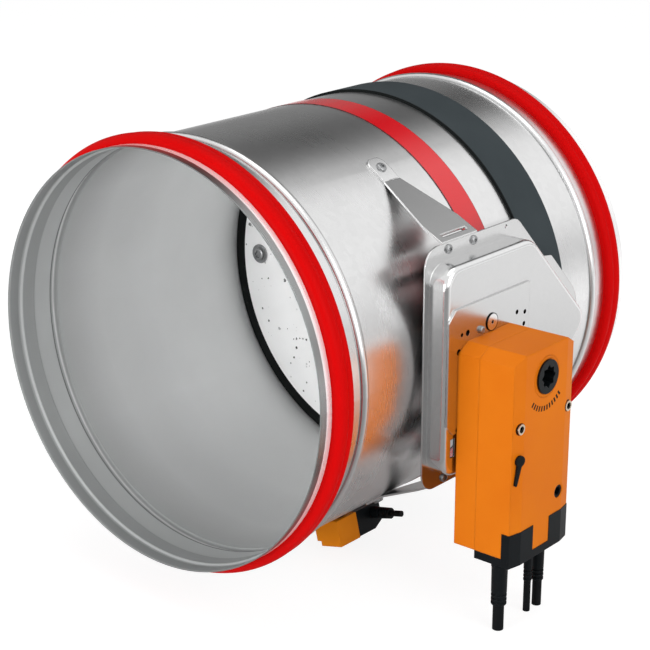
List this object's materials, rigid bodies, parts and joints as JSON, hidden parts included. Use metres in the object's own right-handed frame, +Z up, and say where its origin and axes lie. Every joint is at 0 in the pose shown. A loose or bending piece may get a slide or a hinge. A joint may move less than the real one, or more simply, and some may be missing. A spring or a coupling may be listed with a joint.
{
  "type": "round fire damper",
  "caption": "Round duct fire damper: a flanged tube with lip gaskets, a pivoting insulated blade and a side actuator that closes it through a crank linkage.",
  "frame": {"origin": "centre of the near spigot's open end", "axes": "+Y along the duct from the near end to the far end, +X towards the actuator, +Z up"},
  "size_m": [0.5026, 0.484, 0.4534],
  "materials": {
    "galvanised_sheet": "galvanised sheet, satin",
    "plated_steel": "zinc plated, smooth",
    "bright_steel": "bright plated",
    "bearing_bronze": "sintered bronze",
    "red_rubber": "moulded, smooth",
    "red_film": "printed film, no text",
    "intumescent_band": "matt dark grey",
    "blade_board": "white mineral board with dark specks",
    "black_seal": "matt black",
    "orange_plastic": "fine moulded texture",
    "black_plastic": "fine moulded texture",
    "lead_jacket": "smooth cable jacket"
  },
  "bodies": {
    "casing_body": {"casing": "galvanised_sheet", "near_lip_gasket": "red_rubber", "far_lip_gasket": "red_rubber", "label_band": "red_film", "outer_seal_band": "intumescent_band", "upper_blade_stop": "galvanised_sheet", "lower_blade_stop": "galvanised_sheet", "shaft_bush": "bearing_bronze", "idle_bush": "plated_steel", "console": "plated_steel", "upper_strut": "plated_steel", "lower_strut": "plated_steel", "foot_screws": "bright_steel", "rim_screws": "bright_steel", "actuator_plate": "plated_steel", "plate_plug": "plated_steel", "locating_pin": "bright_steel", "rear_housing": "orange_plastic", "front_housing": "orange_plastic", "end_cap": "black_plastic", "housing_eyelets": "bright_steel", "mains_boot": "black_plastic", "mains_lead": "lead_jacket", "sensor_boot": "black_plastic", "sensor_lead": "lead_jacket", "switch_boot": "black_plastic", "switch_lead": "lead_jacket", "release_pedestal": "black_plastic", "release_housing": "orange_plastic", "release_connector": "black_plastic", "release_probe": "bright_steel", "release_boot": "black_plastic", "release_lead": "lead_jacket"},
    "blade": {"blade_board": "blade_board", "blade_rim_seal": "black_seal", "blade_bolts": "plated_steel", "drive_shaft": "plated_steel", "idle_pivot": "plated_steel", "blade_crank": "plated_steel", "blade_crank_pin": "bright_steel"},
    "output": {"output_bush": "black_plastic", "drive_spindle": "plated_steel", "drive_crank": "plated_steel", "drive_crank_pin": "bright_steel"},
    "rod": {"link_rod": "plated_steel"},
    "winder": {"winder_socket": "black_plastic"},
    "lock": {"lock_lever": "black_plastic"},
    "button": {"test_button": "black_plastic"}
  },
  "joints": [
    {"name": "blade_swing", "type": "hinge", "parent": "casing_body", "child": "blade", "pos_m": [0, 0.342, 0], "axis": [1, 0, 0], "range_deg": [0, 90], "stiffness_Nm_per_rad": 2.5, "springref_deg": -68.75},
    {"name": "output_turn", "type": "hinge", "parent": "casing_body", "child": "output", "pos_m": [0.26, 0.203, 0], "axis": [1, 0, 0], "range_deg": [0, 90]},
    {"name": "rod_turn", "type": "hinge", "parent": "output", "child": "rod", "pos_m": [0.2085, 0.2074, 0.01642], "axis": [1, 0, 0], "range_deg": [-90, 0]},
    {"name": "winder_turn", "type": "hinge", "parent": "casing_body", "child": "winder", "pos_m": [0.28, 0.23, -0.121], "axis": [1, 0, 0], "range_deg": [0, 1440]},
    {"name": "lock_turn", "type": "hinge", "parent": "casing_body", "child": "lock", "pos_m": [0.29072, 0.1645, -0.0695], "axis": [0.9778, -0.2095, 0], "range_deg": [0, 45]},
    {"name": "test_press", "type": "slide", "parent": "casing_body", "child": "button", "axis": [-0.2419, 0, 0.9703], "range_m": [0, 0.002], "stiffness_N_per_m": 400, "springref_m": -0.002}
  ],
  "couplings": [
    {"joint": "output_turn", "follows": "blade_swing", "ratio": 1},
    {"joint": "rod_turn", "follows": "blade_swing", "ratio": -1},
    {"joint": "winder_turn", "follows": "blade_swing", "ratio": 16}
  ]
}
